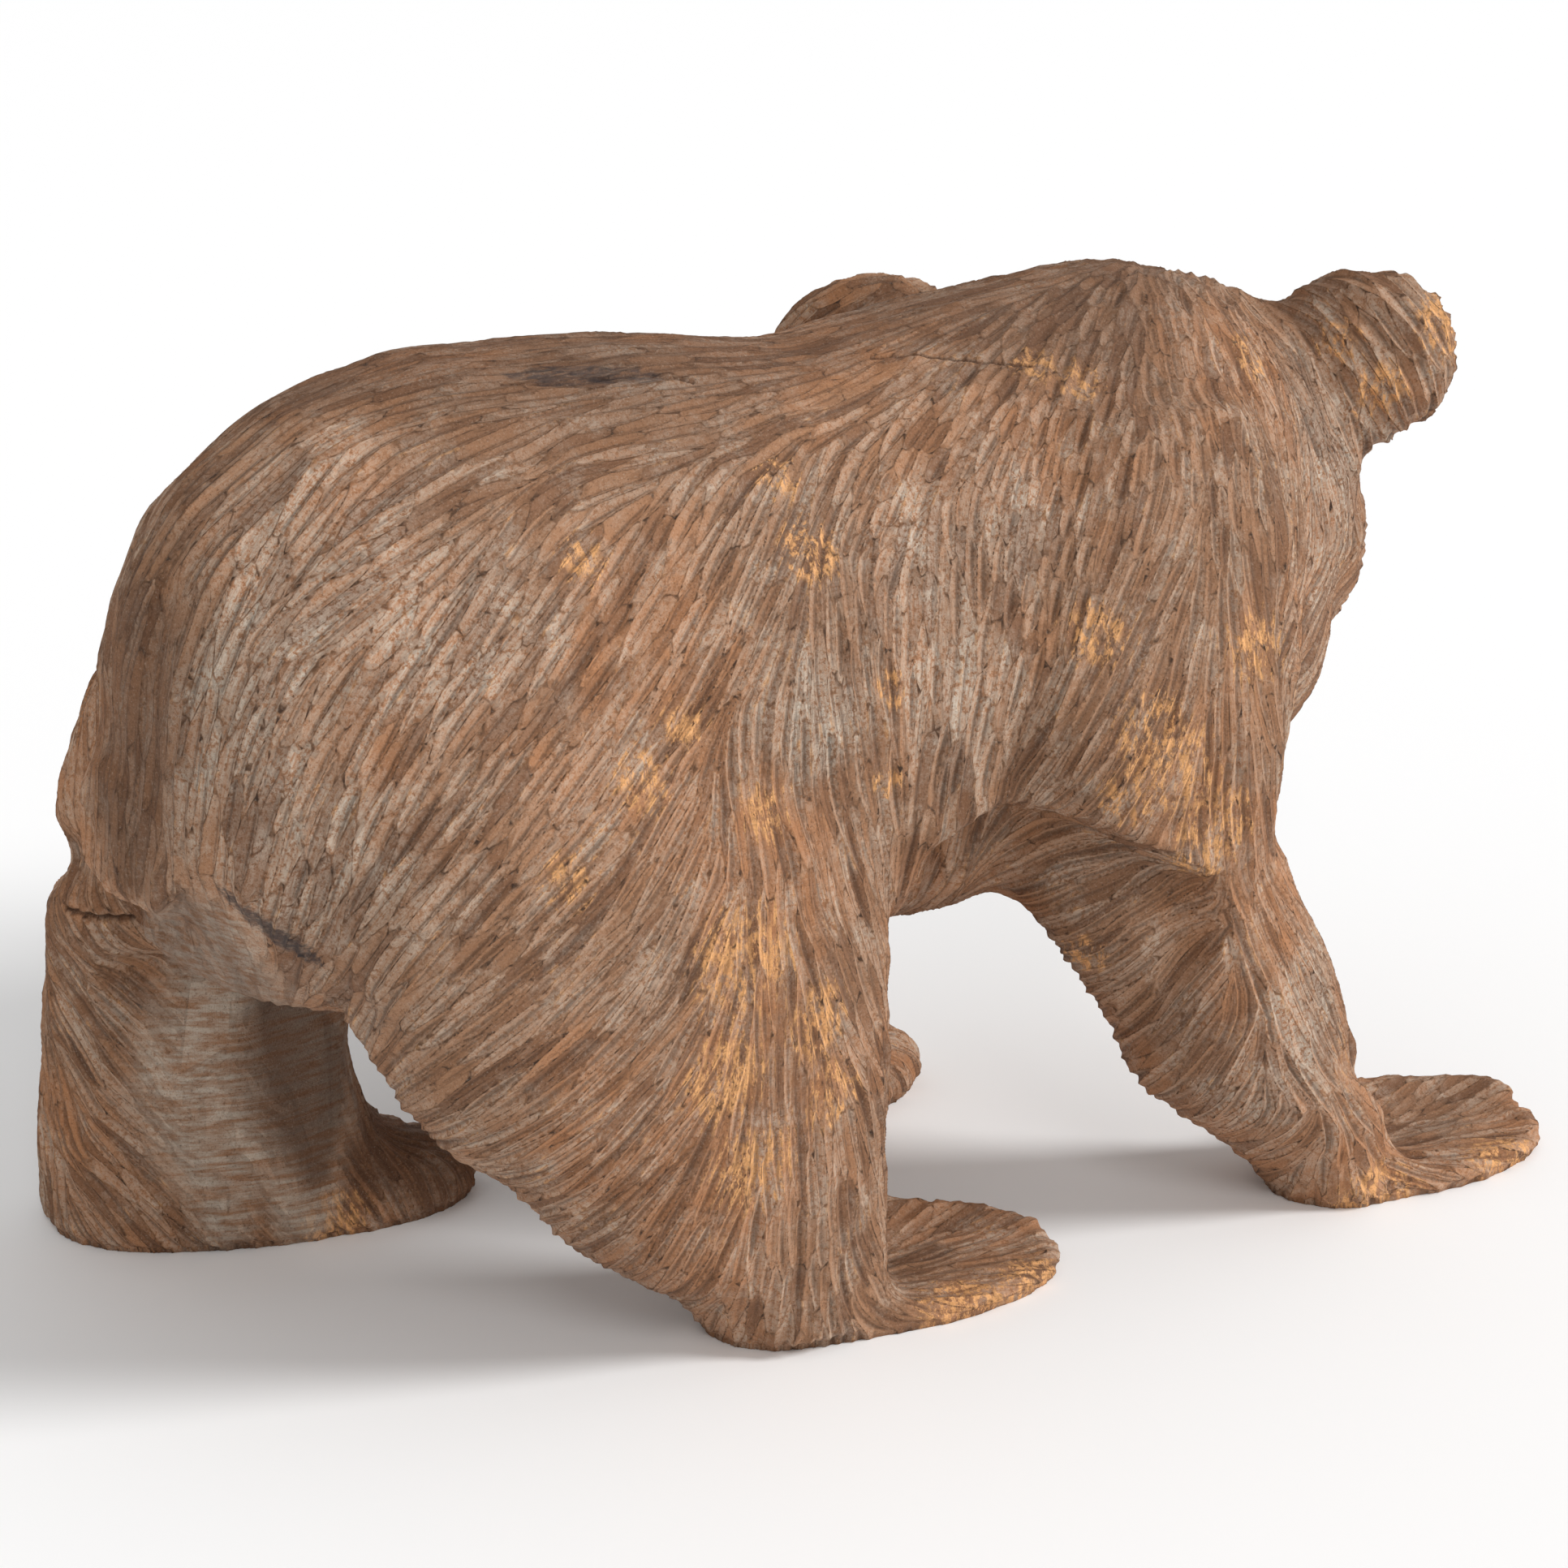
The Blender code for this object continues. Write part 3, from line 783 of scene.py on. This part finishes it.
def seam_distance(mesh, gap, points):
    """Millimetres to the nearest seam between two strokes, where their depths are the same."""
    ends = gathered(mesh.edges, "vertices", 2)
    length = np.linalg.norm(points[ends[:, 0]] - points[ends[:, 1]], axis=1)
    slope = np.abs(gap[ends[:, 0]] - gap[ends[:, 1]]) / np.maximum(length, SHORTEST_EDGE)
    total = np.bincount(ends.ravel(), np.repeat(slope, 2), len(gap))
    mean = total / np.bincount(ends.ravel(), minlength=len(gap))
    mean = np.maximum(spread(mesh, mean, SEAM_SPREAD), GENTLEST_SEAM)
    return np.clip(gap / mean / MM, 0, SEAM_REACH)


def store(mesh, name, values):
    attribute = mesh.attributes.new(name, "FLOAT", "POINT")
    attribute.data.foreach_set("value", values.astype(np.float32))


# Where the wood shows fresh or weathered: centre and radius in millimetres, and strength.
TORN_PATCHES = [
    ((-50, -104, 283), 14, 1.0), ((-131, -99, 291), 12, 0.6), ((-29, -121, 237), 8, 0.9),
    ((-31, -122, 205), 8, 0.9), ((-108, -121, 237), 12, 0.6), ((-125, -125, 224), 16, 0.6),
    ((-155, -132, 199), 14, 0.5), ((-82, -128, 206), 14, 0.6), ((-96, -140, 160), 26, 0.8),
    ((-66, -137, 132), 18, 0.9), ((-58, -135, 103), 16, 1.0), ((-104, -142, 122), 22, 0.7),
    ((-91, -138, 85), 22, 0.7), ((61, -143, 214), 18, 0.8), ((73, -145, 197), 20, 1.0),
    ((89, -143, 172), 20, 1.0), ((55, -142, 191), 16, 0.9), ((107, -138, 234), 18, 0.7),
    ((45, -130, 247), 16, 0.7), ((84, -141, 159), 16, 1.0), ((56, -111, 120), 12, 1.0),
    ((152, -67, 315), 12, 1.0), ((73, -76, 318), 12, 0.8), ((256, -52, 312), 18, 1.0),
    ((229, -45, 289), 16, 0.7), ((216, -36, 307), 12, 0.6), ((0, -128, 2), 22, 1.0),
    ((32, -125, 4), 20, 1.0), ((181, -130, 2), 24, 0.9), ((242, -132, 3), 24, 0.9),
    ((-53, -87, 304), 12, 0.6), ((60, -68, 324), 12, 0.7), ((-168, 42, 8), 18, 0.9),
]
PALE_PATCHES = [
    ((-215, -76, 295), 50, 0.9), ((-242, -84, 249), 45, 0.9), ((-178, -102, 275), 45, 0.8),
    ((-58, -123, 234), 26, 1.0), ((-10, -110, 270), 40, 0.7), ((23, -103, 283), 34, 0.7),
    ((200, -56, 258), 60, 1.0), ((142, -135, 89), 34, 1.0), ((122, -134, 61), 30, 0.8),
    ((-5, -119, 230), 34, 0.8), ((-225, -95, 205), 40, 0.7), ((-205, 42, 70), 40, 0.8),
]
# Where it is charred, painted with shade or planed bare: two ends of a streak, its radius, and
# strength.
DARK_STREAKS = [
    ((-130, -46, 339), (-75, -54, 335), 7, 0.75),
    # painted shadow line just under the rump's overhanging edge, in the charred colour
    ((-256, -74, 196), (-220, -90, 163), 6.5, 0.9),
]
# Painted shade in recesses, under overhangs and over the top of the back and hump; on the paw dishes
# painted shade and a darker tone of the wood.
SHADED_PATCHES = [
    ((28, -120, 160), (90, -125, 120), 30, 0.2),
    ((-190, -20, 330), (-10, -30, 334), 55, 0.8),
    ((20, -20, 344), (140, -10, 346), 84, 0.7),
    ((84, -120, 110), (110, -110, 70), 22, 0.4),
    ((-186, 38, 112), (-172, 42, 30), 22, 1.0),
    ((-262, -44, 285), (-268, -34, 190), 30, 0.75),
    ((-245, -50, 180), (-208, 0, 130), 40, 0.6),
    ((-150, 46, 25), (-100, 60, 20), 36, 0.9),
    ((-14, -88, 12), (26, -84, 12), 26, 0.3),
    ((206, -94, 12), (246, -90, 14), 24, 0.3),
    ((-150, -118, 60), (-120, -105, 30), 22, 0.4),
]
PLANED_PATCHES = [
    ((-206, 40, 128), (-206, 46, 14), 30, 1.0),
    ((-180, 38, 118), (-178, 42, 12), 30, 1.0),
    ((-240, -60, 180), (-212, 10, 140), 40, 1.0),
]
PLANED_FACING = np.array((-0.15, -1.0, 0.0))


def patch_strength(points, patches):
    """How strongly each point belongs to the strongest patch near it, from 0 to 1."""
    strength = np.zeros(len(points))
    for centre, radius, most in patches:
        gap = np.linalg.norm(points - np.array(centre) * MM, axis=1) / (radius * MM)
        strength = np.maximum(strength, most * np.clip(1.6 - 1.6 * gap, 0, 1))
    return strength


def streak_strength(points, streaks):
    """As patch_strength, for patches that run from one point to another."""
    strength = np.zeros(len(points))
    for start, end, radius, most in streaks:
        start, run = np.array(start) * MM, (np.array(end) - np.array(start)) * MM
        share = np.clip((points - start) @ run / (run @ run), 0, 1)
        taper = np.sin(np.pi * (0.12 + 0.76 * share))
        gap = np.linalg.norm(points - start - share[:, None] * run, axis=1) / (radius * MM * taper)
        strength = np.maximum(strength, most * np.clip(1.6 - 1.2 * gap, 0, 1))
    return strength


def carve_body():
    rng = np.random.default_rng(SEED)
    body = smooth_body()
    shape_forms(body.data)
    even_mesh(body, FORM_VOXEL, SHAPED_SMOOTHING)
    mesh = body.data
    lines = FLANK_LINES + NECK_LINES + RIGHT_LEG_LINES + LEFT_LEG_LINES
    lines += [(look, mirrored(line)) for look, line in FLANK_LINES]
    lines += [(look, list(out_of_head(line) / MM)) for look, line in both_sides(FACE_LINES)]
    tree = tree_of(mesh)
    guides = guide_samples(lines, tree)
    direction, look = coat_field(vertex_array(mesh), normal_array(mesh), guides)
    candidates = CANDIDATES
    strokes = lay_strokes(mesh, tree, direction, look, rng, candidates)
    even_mesh(body, FINE_VOXEL, FINE_SMOOTHING)
    mesh = body.data
    points, normals = vertex_array(mesh), normal_array(mesh)
    deepest, next_deepest, stroke, place, across = cut_depths(points, normals, strokes, CUT_REACH)
    height, calm, face_shade = face_relief(points, tree)
    planed = streak_strength(points, PLANED_PATCHES)
    planed = planed * smooth_step(normals @ PLANED_FACING, 0.1, 0.5)
    calm = np.maximum(calm, planed)
    cut = np.maximum(deepest, UNCUT) * (1 - calm) - height
    relief = (spread(mesh, cut, RELIEF_SPREAD) - cut) / RELIEF_SCALE
    moved = points + normals * (CUT_ALLOWANCE - cut)[:, None]
    sole = points[:, 2] < SOLE_HEIGHT
    moved[sole, 2] = 0
    moved[~sole, 2] = np.maximum(moved[~sole, 2], 0.0)
    set_vertices(mesh, moved)
    tones = np.random.default_rng(SEED + 1).random(len(strokes[4]))
    gap = seam_distance(mesh, deepest - next_deepest, points)
    store(mesh, "gap", gap + (SEAM_REACH - gap) * smooth_step(calm, 0.3, 0.8))
    store(mesh, "crest", np.clip(relief, 0, 1))
    store(mesh, "hollow", np.clip(-relief, 0, 1))
    store(mesh, "torn", patch_strength(points, TORN_PATCHES))
    store(mesh, "pale", patch_strength(points, PALE_PATCHES))
    store(mesh, "dark", streak_strength(points, DARK_STREAKS))
    store(mesh, "planed", planed)
    # painted shade: the face's furrows, eye sockets and cracks and the shaded patches; on the nose pad
    # a darker tone
    store(mesh, "shade", np.maximum(face_shade, streak_strength(points, SHADED_PATCHES)))
    store(mesh, "along", place)
    store(mesh, "across", across)
    store(mesh, "tone", tones[stroke])
    thin = body.modifiers.new("keep_the_edges", "DECIMATE")
    thin.ratio = min(1, KEPT_TRIANGLES / (2 * len(mesh.polygons)))
    apply_modifiers(body)
    body.data.polygons.foreach_set("use_smooth", np.ones(len(body.data.polygons), bool))
    return body


# --- materials ---
class Nodes:
    """Short calls for building a material's node tree."""

    def __init__(self, name):
        self.material = bpy.data.materials.new(name)
        self.material.use_nodes = True
        self.tree = self.material.node_tree
        self.shader = self.tree.nodes["Principled BSDF"]

    def add(self, kind, **settings):
        node = self.tree.nodes.new(kind)
        for key, value in settings.items():
            setattr(node, key, value)
        return node

    def link(self, source, target):
        self.tree.links.new(source, target)

    def feed(self, target, value):
        if isinstance(value, bpy.types.NodeSocket):
            self.link(value, target)
        else:
            target.default_value = value

    def attribute(self, name):
        return self.add("ShaderNodeAttribute", attribute_name=name).outputs["Fac"]

    def math(self, operation, first, second=0.0, clamp=False):
        node = self.add("ShaderNodeMath", operation=operation, use_clamp=clamp)
        self.feed(node.inputs[0], first)
        self.feed(node.inputs[1], second)
        return node.outputs[0]

    def times(self, first, second, clamp=False):
        return self.math("MULTIPLY", first, second, clamp)

    def plus(self, first, second):
        return self.math("ADD", first, second)

    def surface(self, name, value):
        """Sets an input of the shader, or links it."""
        self.feed(self.shader.inputs[name], value)

    def ramp(self, value, low, high):
        """0 at low, 1 at high."""
        node = self.add("ShaderNodeMapRange", interpolation_type="SMOOTHSTEP")
        self.feed(node.inputs["Value"], value)
        node.inputs["From Min"].default_value = low
        node.inputs["From Max"].default_value = high
        return node.outputs["Result"]

    def noise(self, vector, scale, detail=3.0, roughness=0.55, stretch=None):
        """Noise with that many repeats in a metre, less along an axis where it is stretched."""
        if stretch:
            vector = self.stretched(vector, stretch)
        node = self.add("ShaderNodeTexNoise")
        self.link(vector, node.inputs["Vector"])
        node.inputs["Scale"].default_value = scale
        node.inputs["Detail"].default_value = detail
        node.inputs["Roughness"].default_value = roughness
        return node.outputs["Fac"]

    def stretched(self, vector, scale):
        node = self.add("ShaderNodeMapping")
        self.link(vector, node.inputs["Vector"])
        node.inputs["Scale"].default_value = scale
        return node.outputs["Vector"]

    def combine(self, x, y, z):
        node = self.add("ShaderNodeCombineXYZ")
        for socket, value in zip(node.inputs, (x, y, z)):
            self.feed(socket, value)
        return node.outputs[0]

    def mix(self, amount, first, second):
        node = self.add("ShaderNodeMix", data_type="RGBA")
        self.feed(node.inputs["Factor"], amount)
        self.feed(node.inputs["A"], first)
        self.feed(node.inputs["B"], second)
        return node.outputs["Result"]


def colour(red, green, blue):
    """A colour given in 0-255 display values, as the shader's linear values."""
    def linear(value):
        value /= 255
        return value / 12.92 if value <= 0.04045 else ((value + 0.055) / 1.055) ** 2.4
    return (linear(red), linear(green), linear(blue), 1)


BROWN = colour(155, 114, 84)
DEEP_BROWN = colour(110, 76, 54)
# Painted shade in the seams and hollows, with the dirt there, and the colour of the pores.
SHADE_DIRT_AND_PORE_BROWN = colour(52, 36, 27)
WEATHERED = colour(194, 181, 165)
ROSY = colour(170, 119, 82)
TORN = colour(224, 166, 110)
# Painted shade for the shaded patches and for the face's furrows, eye sockets and cracks.
PAINTED_SHADE_BROWN = colour(86, 58, 40)
# Charred streaks, and a painted shadow line under the rump's edge.
CHARRED_AND_SHADOW_LINE = colour(52, 48, 50)
DARK_GLASS = colour(26, 15, 9)
AMBER_GLASS = colour(66, 36, 17)
STEEL = colour(150, 146, 140)
RUST = colour(104, 66, 42)

BUMP_STRENGTH = 0.85
BUMP_DISTANCE = 0.8 * MM


def wood_material():
    n = Nodes("weathered_wood_finish")
    place = n.add("ShaderNodeTexCoord").outputs["Object"]
    gap, along = n.attribute("gap"), n.attribute("along")
    across, tone = n.attribute("across"), n.attribute("tone")
    crest, hollow = n.attribute("crest"), n.attribute("hollow")
    pale, torn, dark = n.attribute("pale"), n.attribute("torn"), n.attribute("dark")
    planed, shade = n.attribute("planed"), n.attribute("shade")
    rings = n.noise(place, 420, 5, 0.65, stretch=(0.06, 0.35, 1))
    grain = n.noise(place, 900, 3, stretch=(0.2, 1, 1))
    speckle = n.noise(place, 1300, 3, 0.8)
    grit = n.noise(place, 520, 4, 0.75)
    broad = n.noise(place, 14, 3)
    blotch = n.noise(place, 60, 5, 0.65)
    flecks = n.noise(place, 330, 4, 0.75, stretch=(1, 1, 0.35))
    lines = n.noise(n.combine(n.times(along, 1.2), n.times(across, 3.0),
                              n.times(tone, 90.0)), 1.6, 5, 0.7)
    base = n.mix(n.ramp(broad, 0.4, 0.62), BROWN, ROSY)
    base = n.mix(n.times(n.ramp(tone, 0.5, 1.0), 0.75), base, DEEP_BROWN)
    # grey film where weather has reached the floor of a stroke
    film = n.times(n.ramp(blotch, 0.42, 0.66), 0.45)
    film = n.plus(film, n.times(pale, 0.6))
    film = n.plus(film, n.times(n.ramp(tone, 0.55, 0.2), 0.4))
    film = n.times(film, n.ramp(gap, 0.1, 0.8))
    film = n.times(film, n.ramp(lines, 0.25, 0.6))
    film = n.times(film, n.ramp(grit, 0.36, 0.55))
    base = n.mix(n.times(film, 0.8, clamp=True), base, WEATHERED)
    # fresh wood where an edge has chipped
    chipped = n.plus(n.times(torn, 1.4), -0.38)
    chipped = n.plus(chipped, n.times(n.ramp(crest, 0.1, 0.9), 0.5))
    chipped = n.times(n.ramp(chipped, 0.05, 0.6), n.ramp(flecks, 0.45, 0.57))
    worn = n.times(n.ramp(crest, 0.3, 0.9), n.ramp(blotch, 0.52, 0.64))
    worn = n.times(worn, n.ramp(flecks, 0.42, 0.58))
    base = n.mix(n.math("MAXIMUM", n.times(worn, 0.5), chipped), base, TORN)
    # dark seams between strokes, away from their tips: dirt in the seams, and painted shade that is
    # darker on the steep side, where the wall's shadow falls
    seam = n.times(n.ramp(gap, 0.8, 0.1), n.ramp(n.math("ABSOLUTE", along), 1.0, 0.75))
    seam = n.times(seam, n.ramp(across, -0.9, 0.35))
    seam = n.times(seam, n.ramp(blotch, 0.78, 0.40))
    base = n.mix(n.times(seam, 0.95), base, SHADE_DIRT_AND_PORE_BROWN)
    # painted shade and dirt in the hollows of the relief
    base = n.mix(n.times(n.ramp(hollow, 0.3, 1.0), 0.5), base, SHADE_DIRT_AND_PORE_BROWN)
    # bare planed wood shows its year rings
    bare = n.mix(n.ramp(rings, 0.36, 0.64), BROWN, WEATHERED)
    base = n.mix(n.times(planed, 0.75), base, bare)
    # painted shade from the shade attribute, broken up by the year rings
    darkening = n.plus(n.times(rings, 0.5), 0.45)
    base = n.mix(n.times(shade, darkening), base, PAINTED_SHADE_BROWN)
    # grit, pores, dust, the charred streaks and a painted shadow line under the rump's edge
    base = n.mix(n.times(n.ramp(grit, 0.47, 0.30), 0.45), base, DEEP_BROWN)
    base = n.mix(n.times(n.ramp(speckle, 0.46, 0.30), 0.6), base, SHADE_DIRT_AND_PORE_BROWN)
    base = n.mix(n.times(n.ramp(speckle, 0.55, 0.72), 0.32), base, WEATHERED)
    knot_and_shadow_line = n.times(n.math("SUBTRACT", grain, 0.5), 1.3)
    knot_and_shadow_line = n.ramp(n.plus(dark, knot_and_shadow_line), 0.3, 1.0)
    base = n.mix(n.times(knot_and_shadow_line, 0.8), base, CHARRED_AND_SHADOW_LINE)
    n.surface("Base Color", base)
    rough = n.plus(n.times(grit, 0.25), 0.66)
    n.surface("Roughness", rough)
    n.surface("Specular IOR Level", 0.25)
    bump = n.add("ShaderNodeBump")
    bump.inputs["Strength"].default_value = BUMP_STRENGTH
    bump.inputs["Distance"].default_value = BUMP_DISTANCE
    height = n.plus(n.times(lines, 0.6), n.times(grit, 0.7))
    n.link(height, bump.inputs["Height"])
    n.surface("Normal", bump.outputs["Normal"])
    return n.material


def bead_material():
    """Dark brown glass, a little streaked and dusty."""
    n = Nodes("dark_glass_finish")
    place = n.add("ShaderNodeTexCoord").outputs["Object"]
    streaks = n.noise(place, 260, 4, stretch=(1, 1, 3))
    base = n.mix(n.ramp(streaks, 0.4, 0.65), DARK_GLASS, AMBER_GLASS)
    dust = n.plus(n.times(n.noise(place, 900), 0.22), 0.04)
    n.surface("Base Color", base)
    n.surface("Roughness", dust)
    n.surface("Coat Weight", 0.6)
    return n.material


def wire_material():
    """Steel wire with a brown bloom of rust."""
    n = Nodes("steel_wire_finish")
    place = n.add("ShaderNodeTexCoord").outputs["Object"]
    rust = n.ramp(n.noise(place, 700, 4), 0.45, 0.6)
    n.surface("Base Color", n.mix(rust, STEEL, RUST))
    n.surface("Roughness", n.plus(n.times(rust, 0.5), 0.3))
    n.surface("Metallic", n.math("SUBTRACT", 1.0, rust))
    return n.material


def refinish(node, material):
    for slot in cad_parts[node].material_slots:
        slot.material = material


def plain_material(name, tint, roughness):
    n = Nodes(name)
    n.surface("Base Color", tint)
    n.surface("Roughness", roughness)
    return n.material


# --- stage ---
def direction_back(azimuth, elevation):
    return Vector((math.sin(azimuth) * math.cos(elevation),
                   -math.cos(azimuth) * math.cos(elevation),
                   math.sin(elevation)))


def add_camera():
    data = bpy.data.cameras.new("camera")
    data.lens = CAMERA_LENS
    data.sensor_width = CAMERA_SENSOR
    data.clip_end = CAMERA_CLIP_END
    camera = add_object("camera", data)
    back = direction_back(CAMERA_AZIMUTH, CAMERA_ELEVATION)
    camera.location = CAMERA_TARGET + back * CAMERA_DISTANCE
    camera.rotation_euler = (-back).to_track_quat("-Z", "Y").to_euler()
    bpy.context.scene.camera = camera


def add_stage():
    mesh = bpy.data.meshes.new("studio_floor")
    reach = FLOOR_REACH
    corners = [(-reach, -reach, 0), (reach, -reach, 0), (reach, reach, 0), (-reach, reach, 0)]
    mesh.from_pydata(corners, [], [(0, 1, 2, 3)])
    floor = add_object("studio_floor", mesh)
    floor.location.z = -FLOOR_DROP
    mesh.materials.append(plain_material("pale_paper", FLOOR_TINT, FLOOR_ROUGHNESS))
    world = bpy.data.worlds.new("soft_sky")
    bpy.context.scene.world = world
    world.use_nodes = True
    background = world.node_tree.nodes["Background"]
    background.inputs["Color"].default_value = (1, 1, 1, 1)
    background.inputs["Strength"].default_value = SKY_STRENGTH
    lamps = (("key", KEY_FROM, KEY_STRENGTH), ("fill", FILL_FROM, FILL_STRENGTH))
    for name, origin, strength in lamps:
        data = bpy.data.lights.new(name, "SUN")
        data.energy = strength
        data.angle = LAMP_SOFTNESS
        lamp = add_object(name, data)
        lamp.rotation_euler = (-origin).to_track_quat("-Z", "Y").to_euler()
    bpy.context.scene.view_settings.view_transform = "Standard"


def main():
    clear_default_objects()
    add_camera()
    add_stage()
    body = carve_body()
    body.data.materials.append(wood_material())
    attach(body, "root")
    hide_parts("carved_body")
    glass, wire = bead_material(), wire_material()
    for side in ("left", "right"):
        refinish(side + "_eye_bead", glass)
        refinish(side + "_eye_pin", wire)


main()
